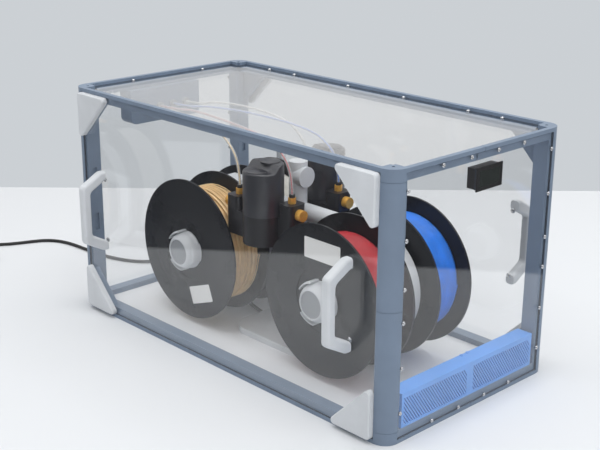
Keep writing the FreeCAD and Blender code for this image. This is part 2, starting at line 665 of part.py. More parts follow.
def spool_set():
    for spot, (side, way, wound) in spools.items():
        x = f"size.unit_x + {side} * size.spool_reach"
        start_y = f"size.unit_y + {way} * size.spool_gap"
        hub("hub_" + spot, x, start_y, way)
        reel("reel_" + spot, x, start_y, way)
        winding("filament_" + spot, x, start_y, way, str(wound))


def port(side, way):
    name = "left" if side < 0 else "right"
    return f"size.unit_x + size.{name}_port_x", f"size.unit_y + {way} * size.{name}_port_y"


def feeder_block(x, y):
    body = new_body("feeder")
    half_l, half_w = "size.feeder_length / 2", "size.feeder_width / 2"
    solid = pad(body, outline(body, "XY_Plane", four_corners(half_l, half_w)),
                "size.feeder_top - size.feeder_floor")
    soften(body, solid, lambda edge: runs(edge, "z"), "size.feeder_round")
    return place(body, (x, y, "size.feeder_floor"))


def feeders():
    boxes, covers = [], []
    for way in (-1, 1):
        x, y = "size.unit_x + size.motor_x", f"size.unit_y + {way} * size.motor_y"
        core = rod("gear_core", (x, y, "size.gear_floor"), "size.motor_radius",
                   "size.gear_top - size.gear_floor")
        pieces = [core]
        for side in (-1, 1):
            port_x, port_y = port(side, way)
            pieces.append(feeder_block(port_x, port_y))
            low_x, high_x = (port_x, x) if side < 0 else (x, port_x)
            pieces.append(slab("feeder_bridge",
                               (low_x, f"{port_y} - size.feeder_width / 2", "size.feeder_floor"),
                               (high_x, f"{port_y} + size.feeder_width / 2", "size.gear_top")))
        arm_end = f"size.unit_y + {way} * (size.column_radius - 2)"
        near, far = (y, arm_end) if way < 0 else (arm_end, y)
        arm = slab("gear_arm", ("size.unit_x - size.arm_half", near, "size.feeder_floor"),
                   ("size.unit_x + size.arm_half", far, "size.beam_height - size.beam_radius - size.arm_gap"))
        column = rod("arm_seat", ("size.unit_x", "size.unit_y", "0"),
                     "size.column_radius + size.axle_clearance", "size.height")
        boxes.append(cut("gearbox", join("gearbox_solid", pieces + [arm]), [column]))
        covers.append(motor_cover(x, y))
    keep("gearboxes", group("gearboxes", boxes))
    keep("motor_covers", group("motor_covers", covers))


def motor_cover(x, y):
    profile = new_body("cover_profile")
    wide, half = "2 * size.motor_radius", "size.cover_slope / 2"
    steps = [(f"-{wide}", "size.gear_top"), (wide, "size.gear_top"), (wide, "size.cover_top"),
             (half, "size.cover_top"), (f"-{half}", "size.cover_low"), (f"-{wide}", "size.cover_low")]
    pad(profile, outline(profile, "YZ_Plane", steps), f"2 * {wide}", True)
    place(profile, (x, y, "0"))
    tall = rod("cover_round", (x, y, "size.gear_top"), "size.motor_radius", "size.cover_top")
    slim = rod("disc_limit", (x, y, "size.gear_top"), "size.motor_radius - size.disc_height", "size.cover_top")
    pieces = [common("cover_shell", [profile, tall])]
    for side, level in (("1", "size.cover_top"), ("-1", "size.cover_low")):
        spot = (x, f"{y} + {side} * size.disc_offset", f"{level} - size.disc_height")
        disc = rod("cover_disc", spot, "size.disc_radius", "2 * size.disc_height")
        pieces.append(common("cover_face", [disc, slim]))
    return join("motor_cover", pieces)


def ports():
    fittings, collets = [], []
    for side in (-1, 1):
        for way in (-1, 1):
            x, y = port(side, way)
            seat = (x, y, "size.feeder_top")
            body = stud("fitting", seat, "size.fitting_radius", "size.fitting_height", faces=6)
            way_in = rod("fitting_way", seat, "size.tube_radius", "size.fitting_height")
            fittings.append(cut("fitting_bored", body, [way_in]))
            rim = (x, y, "size.feeder_top + size.fitting_height")
            ring = stud("collet", rim, "size.collet_radius", "size.collet_height", faces=12)
            hole = stud("collet_way", rim, "size.tube_radius", "size.collet_height", faces=6)
            collets.append(cut("collet_bored", ring, [hole]))
            spot = ("front" if way < 0 else "back") + ("_left" if side < 0 else "_right")
            face = f"{x} + {side} * size.feeder_length / 2"
            grip = rod("knob_grip", (f"{face} + {side} * size.fit_gap", y, "size.feeder_top - size.knob_drop"),
                       "size.knob_radius", "size.knob_length", (side, 0, 0))
            keep("tension_knob_" + spot, grip)
    keep("port_fittings", group("port_fittings", fittings))
    keep("port_collets", group("port_collets", collets))


# Tubes and leads: straight runs joined by tangent arcs.

sides = 6


def section(centre, heading, radius):
    turn = FreeCAD.Rotation(FreeCAD.Vector(0, 0, 1), heading)
    corners = []
    for index in range(sides + 1):
        angle = 2 * math.pi * index / sides
        corners.append(centre + turn * FreeCAD.Vector(radius * math.cos(angle), radius * math.sin(angle), 0))
    return Part.makePolygon(corners)


def routed(points, radius, title):
    spots = [FreeCAD.Vector(*point) for point in points]
    edges, here, radii = [], spots[0], []
    for before, corner, after in zip(spots, spots[1:], spots[2:]):
        back, on = before - corner, after - corner
        turn = math.pi - back.getAngle(on)
        reach = 0.45 * min(back.Length, on.Length)
        radii.append(reach / math.tan(turn / 2))
        back.normalize()
        on.normalize()
        start, end = corner + back * reach, corner + on * reach
        inward = (back + on).normalize()
        middle = corner + inward * (radii[-1] / math.cos(turn / 2) - radii[-1])
        edges.append(Part.LineSegment(here, start).toShape())
        edges.append(Part.Arc(start, middle, end).toShape())
        here = end
    edges.append(Part.LineSegment(here, spots[-1]).toShape())
    path = Part.Wire(edges)
    tube = path.makePipeShell([section(spots[0], spots[1] - spots[0], radius)], True, False)
    expected = sides / 2 * math.sin(2 * math.pi / sides) * radius * radius * path.Length
    print(title, "length", round(path.Length, 1), "least radius", round(min(radii), 1),
          "volume ratio", round(tube.Volume / expected, 4))
    return tube


def feature(name, shape):
    item = doc.addObject("Part::Feature", name)
    item.Shape = shape
    return item


def feed_tubes():
    tubes = []
    exit_x = val(f"-({half_x}) + size.panel_thickness + 2 * size.seat_gap")
    exit_x += val("size.outlet_depth + size.coupler_reach")
    exit_z = val(outlet_z)
    start_z = val("size.feeder_top + size.fitting_height + size.collet_height")
    order = [(-1, -1), (1, -1), (1, 1), (-1, 1)]
    for index, (side, way) in enumerate(order):
        x, y = (val(expression) for expression in port(side, way))
        exit_y = val(f"size.outlet_y + {index - 1.5} * size.outlet_pitch")
        lean = (exit_y - y) / 6
        rise = exit_z + 6 - start_z
        bend = x - 46
        points = [(x, y, start_z), (x - 1, y, start_z + 0.34 * rise),
                  (x - 14, y + 0.2 * lean, start_z + 0.68 * rise), (bend, y + lean, start_z + 0.96 * rise),
                  (0.62 * bend + 0.38 * exit_x, y + 2.6 * lean, exit_z + 9),
                  (0.3 * bend + 0.7 * exit_x, exit_y - lean, exit_z + 8), (exit_x + 36, exit_y, exit_z + 1),
                  (exit_x, exit_y, exit_z)]
        tubes.append(feature("feed_tube", routed(points, val("size.tube_radius"), "feed tube")))
    keep("feed_tubes", group("feed_tubes", tubes))


# The outer lead is given by its distance from the left end, the inner one by its share of the way to the stand.

lead_start = val(f"-({half_x}) - size.grommet_reach + size.seat_gap")
outside = [(0, 72, 29), (13.2, 72, 29), (26.2, 68, 24), (35.2, 61, 16), (43.2, 51, 8.5), (51.2, 39, 4.5),
           (60.2, 25, 3), (72.2, 9, 2.8), (90.2, -5, 2.8), (114.2, -15, 2.8), (141.2, -22, 2.8),
           (170.2, -25.5, 2.8), (200.2, -26.5, 2.8), (228.2, -29, 2.8), (252.2, -35, 2.8), (270.2, -47, 2.8),
           (281.2, -65, 2.8), (289.2, -86, 2.8), (298.2, -106, 2.8), (309.2, -124, 3), (322.2, -139, 3.5),
           (335.2, -152, 3.8), (354.2, -172, 3.8)]
inside = [(0, 72, 29), (0.062, 72, 29), (0.121, 70, 25), (0.167, 66, 19), (0.218, 61, 13.5),
          (0.2725, 56.5, 10.5), (0.361, 50, 9.7), (0.47, 41, 9.7), (0.605, 27, 9.7), (0.748, 13, 9.7),
          (0.882, 2, 9.7), (1, -5, 10.5)]
cord_route = [(lead_start - out, y, z) for out, y, z in outside]


def power_lead():
    radius = val("size.cord_radius")
    keep("power_cord", feature("power_cord", routed(cord_route, radius, "power cord")))
    span = val("size.unit_x - size.foot_length / 2") - 1.5 - lead_start
    inner = [(lead_start + share * span, y, z) for share, y, z in inside]
    keep("inner_lead", feature("inner_lead", routed(inner, radius, "inner lead")))


# The unseen length is put away as a coil: it spirals in, climbs one layer and spirals out again.

def coil_path():
    outer, pitch = val("size.coil_outer"), val("size.coil_pitch")
    half_turns = 2 * int(val("size.coil_turns"))
    low = val("size.coil_floor")
    lead, lead_out = 2 * val("size.cord_radius"), val("size.coil_lead_out")
    edges = [Part.LineSegment(FreeCAD.Vector(outer, -lead, low), FreeCAD.Vector(outer, 0, low)).toShape()]
    x, side = outer, 1

    def half_turn(radius, height):
        nonlocal x, side
        start = FreeCAD.Vector(x, 0, height)
        middle = FreeCAD.Vector(x - side * radius, side * radius, height)
        end = FreeCAD.Vector(x - side * 2 * radius, 0, height)
        edges.append(Part.Arc(start, middle, end).toShape())
        x, side = end.x, -side

    for step in range(half_turns):
        half_turn(outer - step * pitch / 2, low)
    radius = outer - half_turns * pitch / 2
    crest = math.hypot(radius, pitch / 2)
    top = FreeCAD.Vector(x - radius, crest, low + pitch / 2)
    for near, height in ((x, low), (x - 2 * radius, low + pitch)):
        foot = FreeCAD.Vector(near, 0, height)
        edges.append(quarter_turn(foot, FreeCAD.Vector(0, 1, 0), top, height > low))
    x, side = x - 2 * radius, -side
    for step in range(half_turns):
        half_turn(radius + (step + 1) * pitch / 2, low + pitch)
    end = FreeCAD.Vector(x, 0, low + pitch)
    edges.append(Part.LineSegment(end, end + FreeCAD.Vector(0, side * lead_out, 0)).toShape())
    return Part.Wire(edges)


def quarter_turn(foot, heading, top, backwards):
    chord = top - foot
    across = heading - chord * (heading.dot(chord) / chord.dot(chord))
    across.normalize()
    angle = heading.getAngle(chord)
    radius = chord.Length / (2 * math.sin(angle))
    middle = foot + chord * 0.5 + across * (radius - radius * math.cos(angle))
    points = (top, middle, foot) if backwards else (foot, middle, top)
    return Part.Arc(*points).toShape()


def least_gap(path, thickness):
    count = 600
    spots = path.discretize(Number=count)
    apart = int(count * 4 * thickness / path.Length)
    pairs = ((a, b) for a in range(count) for b in range(a + apart, count))
    return min(spots[a].distanceToPoint(spots[b]) for a, b in pairs) - thickness


def put_away_coil():
    path = coil_path()
    radius = val("size.cord_radius")
    start = path.Edges[0].Vertexes[0].Point
    ring = section(start, FreeCAD.Vector(0, 1, 0), radius)
    coil = feature("cord_coil", path.makePipeShell([ring], True, False))
    print("coil length", round(path.Length, 1), "least gap", round(least_gap(path, 2 * radius), 2))
    thick, wide = val("size.tie_thickness"), val("size.tie_width")
    inner = val("size.coil_outer - size.coil_turns * size.coil_pitch - size.cord_radius") - thick - 1.5
    outer = val("size.coil_outer + size.cord_radius") + thick + 0.5
    tall = val("size.coil_floor + size.coil_pitch + size.cord_radius") + thick + 0.2
    low = 0.1
    band = Part.makeBox(wide, outer - inner, tall - low, FreeCAD.Vector(-wide / 2, inner, low))
    hole = Part.makeBox(wide, outer - inner - 2 * thick, tall - low - 2 * thick,
                        FreeCAD.Vector(-wide / 2, inner + thick, low + thick))
    tie = feature("cord_tie", band.cut(hole))
    end = path.Edges[-1].Vertexes[-1].Point
    plug = feature("cord_plug", plug_shape(end))
    before, last = (FreeCAD.Vector(*point) for point in cord_route[-2:])
    turn = FreeCAD.Rotation(FreeCAD.Vector(0, 1, 0), last - before)
    spot = last - turn * start
    for item in (coil, tie, plug):
        item.Placement = FreeCAD.Placement(spot, turn)
        keep(item.Name, item)


def plug_shape(end):
    long, wide, tall = (val("size.plug_" + word) for word in ("length", "width", "height"))
    back = 10
    body = Part.makeBox(wide, long, tall, FreeCAD.Vector(end.x - wide / 2, end.y - long - back, 0.1))
    body = body.makeFillet(2.5, [edge for edge in body.Edges if runs(edge, "y")])
    boot = Part.makeCone(val("size.cord_radius"), 5.5, back, end, FreeCAD.Vector(0, -1, 0))
    pins = []
    for side in (-1, 1):
        base = FreeCAD.Vector(end.x + side * wide / 4 - 1, end.y - long - back - 12, tall / 2 - 1)
        pins.append(Part.makeBox(2, 12, 4, base))
    return body.multiFuse([boot] + pins).removeSplitter()


corners_and_rails()
posts()
panels()
panel_screws()
doors()
frame_magnets()
hygrometer()
desiccant_box()
outlet()
grommet()
stand()
housings()
spool_set()
feeders()
ports()
feed_tubes()
power_lead()
put_away_coil()
doc.recompute()

faults = [item.Label for item in doc.Objects if {"Invalid", "Error"} & set(item.State)]
faults += [item.Label for item in nodes if item.Shape.isNull() or not item.Shape.isValid()]
if faults:
    raise RuntimeError("failed: " + ", ".join(faults))

os.makedirs("parts", exist_ok=True)
for item in nodes:
    item.Shape.exportStep(f"parts/{item.Label}.step")
print(len(nodes), "nodes written")
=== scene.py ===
import bmesh
import bpy
import json
import math
from mathutils import Matrix, Vector


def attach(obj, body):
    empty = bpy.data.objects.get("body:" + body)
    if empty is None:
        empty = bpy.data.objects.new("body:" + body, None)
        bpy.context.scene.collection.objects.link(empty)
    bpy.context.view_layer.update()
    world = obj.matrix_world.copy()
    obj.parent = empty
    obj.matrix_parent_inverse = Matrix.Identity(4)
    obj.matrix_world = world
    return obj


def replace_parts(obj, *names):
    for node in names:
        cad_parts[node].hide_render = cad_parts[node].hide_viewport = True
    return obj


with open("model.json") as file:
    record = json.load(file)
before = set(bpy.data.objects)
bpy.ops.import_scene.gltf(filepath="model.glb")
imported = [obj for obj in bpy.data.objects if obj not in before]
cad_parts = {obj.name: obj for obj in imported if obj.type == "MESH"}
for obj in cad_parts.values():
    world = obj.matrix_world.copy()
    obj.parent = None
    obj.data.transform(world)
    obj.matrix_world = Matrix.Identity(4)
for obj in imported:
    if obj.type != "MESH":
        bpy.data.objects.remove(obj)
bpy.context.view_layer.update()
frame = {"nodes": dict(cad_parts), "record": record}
nodes = frame["nodes"]
scene = bpy.context.scene
mm = 0.001
print("frame loaded with", len(nodes), "nodes")


# camera at the photo's place

photoView = {
    "place": (1.0748, -1.0363, 0.6594), "azimuth": 46.07, "elevation": 18.45, "roll": 0.37, "lens": 69.01,
    "sensor": 36, "clip": (0.02, 60),
}


def addCamera(values):
    turn, tilt, roll = (math.radians(values[key]) for key in ("azimuth", "elevation", "roll"))
    back = Vector((math.sin(turn) * math.cos(tilt), -math.cos(turn) * math.cos(tilt), math.sin(tilt)))
    level = Vector((math.cos(turn), math.sin(turn), 0))
    upright = back.cross(level)
    right = level * math.cos(roll) + upright * math.sin(roll)
    up = upright * math.cos(roll) - level * math.sin(roll)
    camera = bpy.data.objects.new("photoCamera", bpy.data.cameras.new("photoCamera"))
    camera.matrix_world = Matrix.Translation(values["place"]) @ Matrix((right, up, back)).transposed().to_4x4()
    camera.data.lens = values["lens"]
    camera.data.sensor_width = values["sensor"]
    camera.data.clip_start, camera.data.clip_end = values["clip"]
    scene.collection.objects.link(camera)
    scene.camera = camera


addCamera(photoView)
print("camera set")


# shader maths on sockets

class Wire:
    def __init__(self, graph, socket):
        self.graph, self.socket = graph, socket

    def pair(self, operation, first, second):
        return self.graph.add("ShaderNodeMath", {"operation": operation}, {0: first, 1: second})

    def __add__(self, other):
        return self.pair("ADD", self, other)

    def __radd__(self, other):
        return self.pair("ADD", other, self)

    def __sub__(self, other):
        return self.pair("SUBTRACT", self, other)

    def __rsub__(self, other):
        return self.pair("SUBTRACT", other, self)

    def __mul__(self, other):
        return self.pair("MULTIPLY", self, other)

    def __rmul__(self, other):
        return self.pair("MULTIPLY", other, self)

    def __pow__(self, other):
        return self.pair("POWER", self, other)

    def __lt__(self, other):
        return self.pair("LESS_THAN", self, other)

    def __gt__(self, other):
        return self.pair("GREATER_THAN", self, other)


class Graph:
    def __init__(self, tree):
        self.tree = tree

    def feed(self, socket, value):
        if isinstance(value, Wire):
            self.tree.links.new(value.socket, socket)
        else:
            socket.default_value = value

    def add(self, kind, settings=None, values=None, output=0):
        node = self.tree.nodes.new(kind)
        for key, setting in (settings or {}).items():
            setattr(node, key, setting)
        for key, value in (values or {}).items():
            self.feed(node.inputs[key], value)
        return Wire(self, node.outputs[output])

    def ray(self, kind):
        return self.add("ShaderNodeLightPath", output=kind)

    def blend(self, factor, first, second):
        return self.add("ShaderNodeMixShader", {}, {0: factor, 1: first, 2: second})

    def ramp(self, value, low, high):
        return self.add("ShaderNodeMapRange", {}, {"Value": value, "From Min": low, "From Max": high})

    def dot(self, first, second):
        return self.add("ShaderNodeVectorMath", {"operation": "DOT_PRODUCT"}, {0: first, 1: second}, output="Value")

    def mix(self, factor, first, second):
        return self.add("ShaderNodeMix", {"data_type": "RGBA"}, {0: factor, 6: first, 7: second}, output=2)


class Finish(Graph):
    def __init__(self, name, **even):
        self.material = bpy.data.materials.new(name)
        self.material.use_nodes = True
        super().__init__(self.material.node_tree)
        self.shader = self.tree.nodes["Principled BSDF"]
        self.surface = self.tree.nodes["Material Output"].inputs["Surface"]
        for key, value in even.items():
            self.shader.inputs[key.replace("_", " ")].default_value = value

    def place(self):
        return self.add("ShaderNodeTexCoord", output="Object")

    def noise(self, scale, detail=3):
        return self.add("ShaderNodeTexNoise", {}, {"Vector": self.place(), "Scale": scale, "Detail": detail})

    def patches(self, scale, detail=3, low=0.3, high=0.7):
        return self.ramp(self.noise(scale, detail), low, high)

    def facing(self, blend):
        return self.add("ShaderNodeLayerWeight", {}, {"Blend": blend}, output="Facing")

    def bump(self, height, strength, depth):
        bent = self.add("ShaderNodeBump", {}, {"Height": height, "Strength": strength, "Distance": depth * mm})
        self.feed(self.shader.inputs["Normal"], bent)

    def colour(self, value):
        self.feed(self.shader.inputs["Base Color"], value)

    def shades(self, factor, colour, span):
        self.colour(self.mix(factor, *(tint(colour, share) for share in span)))

    def rough(self, value):
        self.feed(self.shader.inputs["Roughness"], value)


def tint(colour, factor):
    return tuple(min(1, part * factor) for part in colour[:3]) + (1,)


# finishes

prints = {
    "slatePrint": {"colour": (0.176, 0.230, 0.312), "layer": 0.28, "shine": 0.36},
    "whitePrint": {"colour": (0.63, 0.655, 0.685), "layer": 0.24, "shine": 0.42},
    "bluePrint": {"colour": (0.108, 0.312, 0.760), "layer": 0.28, "shine": 0.5},
}
printGrain = {"patch": 26, "fine": 900, "span": (0.92, 1.08), "gloss": 0.45, "relief": 0.22, "depth": 0.08}


def printed(name, values):
    finish = Finish(name, Specular_IOR_Level=printGrain["gloss"])
    layers = finish.add("ShaderNodeTexWave", {"bands_direction": "Z"},
                        {"Vector": finish.place(), "Scale": 2 * math.pi / (20 * values["layer"] * mm),
                         "Distortion": 0.4, "Detail": 1.0})
    patches = finish.patches(printGrain["patch"])
    grain = finish.noise(printGrain["fine"], 2)
    finish.shades(patches * 0.7 + grain * 0.3, values["colour"], printGrain["span"])
    finish.rough(patches * 0.10 + layers * 0.06 + values["shine"])
    finish.bump(layers * 0.7 + grain * 0.5, printGrain["relief"], printGrain["depth"])
    return finish.material


moulds = {
    "whiteMould": {"colour": (0.58, 0.60, 0.625), "shine": 0.34, "grain": 0.10},
    # painted shade: the grey of the thin disc laid on the white hubs' flat ends
    "paintedShadeGrey": {"colour": (0.27, 0.285, 0.305), "shine": 0.4, "grain": 0.10},
    "coverGrey": {"colour": (0.024, 0.025, 0.032), "shine": 0.22, "grain": 0.25, "gloss": 0.8},
    "gearBlack": {"colour": (0.013, 0.013, 0.016), "shine": 0.30, "grain": 0.12},
    "meterBlack": {"colour": (0.014, 0.014, 0.015), "shine": 0.32, "grain": 0.15},
    "reelBlack": {"colour": (0.008, 0.009, 0.012), "shine": 0.20, "grain": 0.08, "gloss": 0.25},
    "softBlack": {"colour": (0.016, 0.016, 0.017), "shine": 0.5, "grain": 0.2},
}
mouldGrain = {"cloud": 18, "fine": 1400, "span": (0.9, 1.12), "depth": 0.12}


def moulded(name, values):
    finish = Finish(name, Specular_IOR_Level=values.get("gloss", 0.5))
    cloudy = finish.patches(mouldGrain["cloud"], 4)
    grain = finish.noise(mouldGrain["fine"], 2)
    finish.shades(cloudy * 0.8 + grain * 0.2, values["colour"], mouldGrain["span"])
    finish.rough(cloudy * 0.10 + grain * 0.08 + values["shine"])
    finish.bump(grain, values["grain"], mouldGrain["depth"])
    return finish.material


metals = {
    "brightSteel": {"colour": (0.64, 0.65, 0.67), "shine": 0.12, "share": 1},
    "goldBrass": {"colour": (0.86, 0.46, 0.09), "shine": 0.26, "share": 0.45},
}
metalGrain = {"tarnish": 160, "fine": 2600, "span": (1.06, 0.78), "relief": 0.06, "depth": 0.05}


def metal(name, values):
    finish = Finish(name, Metallic=values["share"])
    tarnish = finish.patches(metalGrain["tarnish"], 4, 0.35, 0.75)
    fine = finish.noise(metalGrain["fine"], 2)
    finish.shades(tarnish, values["colour"], metalGrain["span"])
    finish.rough(tarnish * 0.16 + fine * 0.08 + values["shine"])
    finish.bump(fine, metalGrain["relief"], metalGrain["depth"])
    return finish.material


# the dark colour of the cut edges is partly painted shade of the gaps beside the frame's rims
clear = {
    "tint": (0.996, 0.998, 0.999, 1), "edge": 0.053, "smear": 0.012, "smearScale": 9, "polish": 0.02,
    "rim": (0.060, 0.070, 0.085, 1), "rimShine": 0.25, "edgeOn": 0.25,
}
sheetAxes = {"acrylicFlat": (0, 0, 1), "acrylicEnd": (1, 0, 0), "acrylicDoor": (0, 1, 0)}


def acrylic(name, values, axis):
    finish = Finish(name, Base_Color=values["rim"], Roughness=values["rimShine"])
    smears = finish.patches(values["smearScale"], 5, 0.45, 0.8)
    share = (1 - values["edge"]) * finish.facing(0.5) ** 5 + values["edge"] + smears * values["smear"]
    through = finish.add("ShaderNodeBsdfTransparent", {}, {"Color": values["tint"]})
    mirror = finish.add("ShaderNodeBsdfGlossy", {}, {"Color": (1, 1, 1, 1), "Roughness": values["polish"]})
    sheet = finish.blend(share, through, mirror)
    square = finish.dot(finish.add("ShaderNodeNewGeometry", output="Normal"), axis)
    rim = Wire(finish, finish.shader.outputs[0])
    sheet = finish.blend(square * square < values["edgeOn"], sheet, rim)  # the cut edges are drawn dark: partly as acrylic edges look, partly painted shade of the gaps beside the frame's rims
    for kind in ("Is Diffuse Ray", "Is Shadow Ray"):  # light passes the sheet unhindered
        sheet = finish.blend(finish.ray(kind), sheet, finish.add("ShaderNodeBsdfTransparent"))
    finish.feed(finish.surface, sheet)
    return finish.material


floorSheet = {
    "colour": (0.90, 0.92, 0.95), "shine": 0.42, "solid": 0.85, "gloss": 0.3, "cloud": 7, "span": (0.97, 1.03),
}


def clouded(name, values):
    finish = Finish(name, Specular_IOR_Level=values["gloss"], Alpha=values["solid"])
    cloudy = finish.patches(values["cloud"], 4)
    finish.shades(cloudy, values["colour"], values["span"])
    finish.rough(cloudy * 0.12 + values["shine"])
    return finish.material


tubing = {"colour": (0.80, 0.82, 0.83), "solid": 0.20, "shine": 0.28, "streak": 220, "span": (1, 0.9)}


def translucent(name, values):
    finish = Finish(name, Roughness=values["shine"])
    streaks = finish.noise(values["streak"], 2)
    finish.shades(streaks, values["colour"], values["span"])
    finish.feed(finish.shader.inputs["Alpha"], finish.facing(0.4) * 0.35 + streaks * 0.1 + values["solid"])
    return finish.material


strandFinish = {
    "tanFilament": (0.86, 0.62, 0.32), "redFilament": (0.50, 0.010, 0.022),
    "blueFilament": (0.008, 0.200, 0.780), "paleFilament": (0.62, 0.61, 0.57),
}
strandGrain = {"length": 60, "fine": 1800, "span": (0.86, 1.14), "shine": 0.26, "relief": 0.05, "depth": 0.05}


def filament(name, colour):
    finish = Finish(name, Specular_IOR_Level=0.6, Coat_Weight=0.25, Coat_Roughness=0.2)
    lengths = finish.patches(strandGrain["length"])
    fine = finish.noise(strandGrain["fine"], 2)
    finish.shades(lengths, colour, strandGrain["span"])
    finish.rough(lengths * 0.12 + fine * 0.08 + strandGrain["shine"])
    finish.bump(fine, strandGrain["relief"], strandGrain["depth"])
    return finish.material


display = {"colour": (0.020, 0.024, 0.022), "shine": 0.09, "cell": 240, "span": (0.8, 1.4)}


def screenGlass(name, values):
    finish = Finish(name, Coat_Weight=0.6, Coat_Roughness=0.04)
    cells = finish.noise(values["cell"], 2)
    finish.shades(cells, values["colour"], values["span"])
    finish.rough(cells * 0.08 + values["shine"])
    return finish.material


paper = {"colour": (0.80, 0.80, 0.79), "shine": 0.5, "fibre": 700, "span": (0.94, 1.04), "relief": 0.1, "depth": 0.05}


def labelPaper(name, values):
    finish = Finish(name)
    fibres = finish.noise(values["fibre"], 4)
    finish.shades(fibres, values["colour"], values["span"])
    finish.rough(fibres * 0.15 + values["shine"])
    finish.bump(fibres, values["relief"], values["depth"])
    return finish.material


finishes = {name: printed(name, values) for name, values in prints.items()}
finishes.update({name: moulded(name, values) for name, values in moulds.items()})
finishes.update({name: metal(name, values) for name, values in metals.items()})
finishes.update({name: filament(name, colour) for name, colour in strandFinish.items()})
finishes.update({name: acrylic(name, clear, axis) for name, axis in sheetAxes.items()})
finishes["clouded"] = clouded("clouded", floorSheet)
finishes["feedTubing"] = translucent("feedTubing", tubing)
finishes["screenGlass"] = screenGlass("screenGlass", display)
finishes["labelPaper"] = labelPaper("labelPaper", paper)
print("finishes made:", len(finishes))

slotFinish = {
    "slate_print": "slatePrint", "clear_acrylic": "acrylicFlat", "white_print": "whitePrint",
    "bright_steel": "brightSteel", "meter_black": "meterBlack", "meter_glass": "screenGlass",
    "blue_print": "bluePrint", "white_moulded": "whiteMould", "charcoal": "gearBlack", "brass": "goldBrass",
    "collet_black": "softBlack", "reel_black": "reelBlack", "filament_tan": "tanFilament",
    "filament_red": "redFilament", "filament_blue": "blueFilament", "filament_pale": "paleFilament",
    "tube_clear": "feedTubing", "cable_black": "softBlack",
}
for part in frame["record"]["subparts"]:
    mesh = nodes[part["node"]].data
    mesh.materials.clear()
    mesh.materials.append(finishes[slotFinish[part["material_slot"]]])
ownFinish = {
    "floor_panel": "clouded", "outlet_couplers": "feedTubing", "left_panel": "acrylicEnd",
    "right_panel": "acrylicEnd", "front_panel": "acrylicDoor", "back_panel": "acrylicDoor",
}
for node, finish in ownFinish.items():
    nodes[node].data.materials[0] = finishes[finish]
print("nodes finished")


# new pieces

def addPiece(name, data, body, finish, slot):
    piece = bpy.data.objects.new(name, data)
    scene.collection.objects.link(piece)
    data.materials.append(finishes[finish])
    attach(piece, body)
    return piece


def meshFrom(form, name, smooth=True, sharp=None):
    bmesh.ops.remove_doubles(form, verts=form.verts, dist=1e-6)
    loose = [edge for edge in form.edges if edge.is_wire]  # left on the axis by a spin
    bmesh.ops.delete(form, geom=loose, context="EDGES")
    bmesh.ops.recalc_face_normals(form, faces=form.faces)
    mesh = bpy.data.meshes.new(name)
    form.to_mesh(mesh)
    form.free()
    for polygon in mesh.polygons:
        polygon.use_smooth = smooth
    if sharp:
        mesh.set_sharp_from_angle(angle=math.radians(sharp))
    return mesh


def roundOff(form, geom, reach, segments, affect="EDGES"):
    bmesh.ops.bevel(form, geom=geom, offset=reach * mm, offset_type="OFFSET", segments=segments, profile=0.5,
                    affect=affect, material=-1)


def addDisc(form, radius, height, spot, segments, taper=1):
    made = bmesh.ops.create_cone(form, cap_ends=True, segments=segments, radius1=radius * mm,
                                 radius2=radius * taper * mm, depth=height * mm,
                                 matrix=Matrix.Translation(Vector(spot) * mm))
    return set(made["verts"])


def spinOutline(form, corners, centre, axis, angle=360, steps=96):
    spots = [form.verts.new(corner * mm) for corner in corners]
    face, full = form.faces.new(spots), angle == 360
    geom = spots + list(face.edges)
    if full:  # a whole turn has no ends
        form.faces.remove(face)
    else:
        geom.append(face)
    bmesh.ops.spin(form, geom=geom, cent=centre * mm, axis=axis, angle=math.radians(angle), steps=steps,
                   use_merge=full)


def outset(step):
    return 1 / (0.75 + 0.25 * math.cos(step))  # how far points on a circle go out to keep the spline's radius


def roundLine(name, points, radius, sides=4, steps=8):
    curve = bpy.data.curves.new(name, "CURVE")
    curve.dimensions = "3D"
    spline = curve.splines.new("NURBS")
    spline.points.add(len(points) - 1)
    for point, spot in zip(spline.points, points):
        point.co = (*spot, 1)
    spline.order_u = 3
    spline.use_endpoint_u = True
    spline.resolution_u = steps
    curve.bevel_depth = radius
    curve.bevel_resolution = sides
    curve.use_fill_caps = True
    return curve


# power lead: the route on the table, then the put-away coil

powerLead = {
    "radius": 2.5, "length": 1.305,
    "route": [(-307.8, 72, 29), (-321, 72, 29), (-334, 68, 24), (-343, 61, 16), (-351, 51, 8.5), (-359, 39, 4.5),
              (-368, 25, 3), (-380, 9, 2.8), (-398, -5, 2.8), (-422, -15, 2.8), (-449, -22, 2.8), (-478, -25.5, 2.8),
              (-508, -26.5, 2.8), (-536, -29, 2.8), (-560, -35, 2.8), (-578, -47, 2.8), (-589, -65, 2.8),
              (-597, -86, 2.8), (-606, -106, 2.8), (-617, -124, 3), (-630, -139, 3.5), (-643, -152, 3.8),
              (-662, -172, 3.8)],
    "coilOuter": 33, "coilPitch": 5.7, "halfTurns": 4, "perHalf": 8, "coilFloor": 3.8, "leadIn": 5,
    "tail": (4, 22, 40),
}


def coilPoints(values):
    spots, count = [], values["perHalf"]
    outer, pitch, low = values["coilOuter"], values["coilPitch"], values["coilFloor"]
    inner = outer - values["halfTurns"] * pitch / 2
    radii = [outer - step * pitch / 2 for step in range(values["halfTurns"])]
    radii += [inner] + [inner + (step + 1) * pitch / 2 for step in range(values["halfTurns"])]
    wider = outset(math.pi / count)
    x, side = outer, 1
    for turn, radius in enumerate(radii):
        for step in range(count):
            angle = math.pi * (step + 0.5) / count
            climb = 0 if turn < values["halfTurns"] else 1
            if turn == values["halfTurns"]:
                climb = (1 - math.cos(angle)) / 2
            spots.append(Vector((x - side * radius + side * radius * wider * math.cos(angle),
                                 side * radius * wider * math.sin(angle), low + climb * pitch)))
        x, side = x - side * 2 * radius, -side
    return spots + [Vector((x, side * reach, low + pitch)) for reach in values["tail"]]


